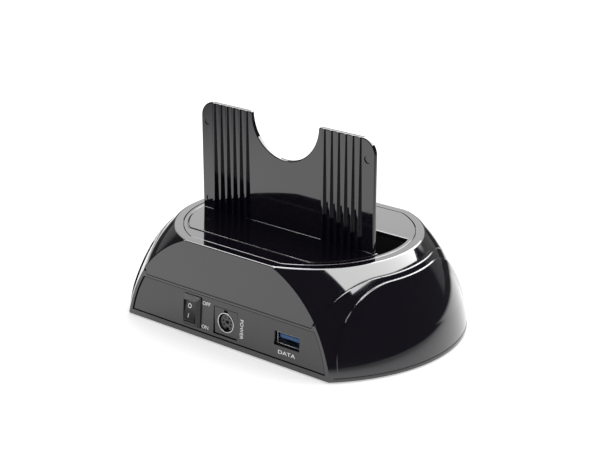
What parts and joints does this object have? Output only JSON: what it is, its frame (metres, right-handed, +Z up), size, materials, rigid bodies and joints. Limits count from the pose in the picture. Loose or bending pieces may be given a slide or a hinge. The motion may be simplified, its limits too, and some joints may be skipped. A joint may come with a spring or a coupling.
{
  "type": "hard drive docking station",
  "caption": "Desk-top dock for one bare drive: domed housing, open drive slot with a leaning ribbed backrest, rear rocker switch and sockets.",
  "frame": {"origin": "centre of the overall box's footprint, on the surface that the rubber feet stand on", "axes": "+X along the long side, +Y towards the rear face with the switch and sockets, +Z up"},
  "size_m": [0.1662, 0.1109, 0.1007],
  "materials": {
    "gloss_black": "polished moulded plastic",
    "satin_black": "fine satin moulded plastic",
    "nickel": "bright plated shell",
    "grey_core": "moulded insulator",
    "blue_insulator": "moulded insulator",
    "gold": "plated contacts",
    "brass_tabs": "stamped tabs",
    "board_green": "solder resist on glass fibre board",
    "chip_black": "moulded packages",
    "can_metal": "drawn can",
    "lead_red": "insulated wire",
    "clear": "clear moulded rod",
    "led_body": "diffused lens",
    "foot_rubber": "soft foot",
    "screw_steel": "zinc plated"
  },
  "bodies": {
    "housing": {"top_cover": "gloss_black", "lower_shell": "gloss_black", "top_insert": "gloss_black", "backrest": "gloss_black", "bottom_plate": "satin_black", "io_panel": "satin_black", "drive_well": "satin_black", "switch_housing": "satin_black", "power_socket": "satin_black", "sata_socket": "satin_black", "power_socket_shield": "nickel", "usb_shell": "nickel", "crystal": "nickel", "power_socket_core": "grey_core", "usb_insulator": "blue_insulator", "sata_contacts": "gold", "usb_contacts": "gold", "switch_terminals": "brass_tabs", "main_board": "board_green", "bridge_chip": "chip_black", "memory_chip": "chip_black", "voltage_regulator": "chip_black", "inductor": "chip_black", "capacitors": "can_metal", "switch_leads": "lead_red", "led_window": "clear", "status_led": "led_body", "rubber_feet": "foot_rubber", "case_screws": "screw_steel", "board_screws": "screw_steel", "well_screws": "screw_steel", "backrest_screws": "screw_steel"},
    "rocker": {"switch_rocker": "satin_black"}
  },
  "joints": [
    {"name": "rocker_pivot", "type": "hinge", "parent": "housing", "child": "rocker", "pos_m": [0.0204, 0.05288, 0.01261], "axis": [-1, 0, 0], "range_deg": [0, 22]}
  ]
}
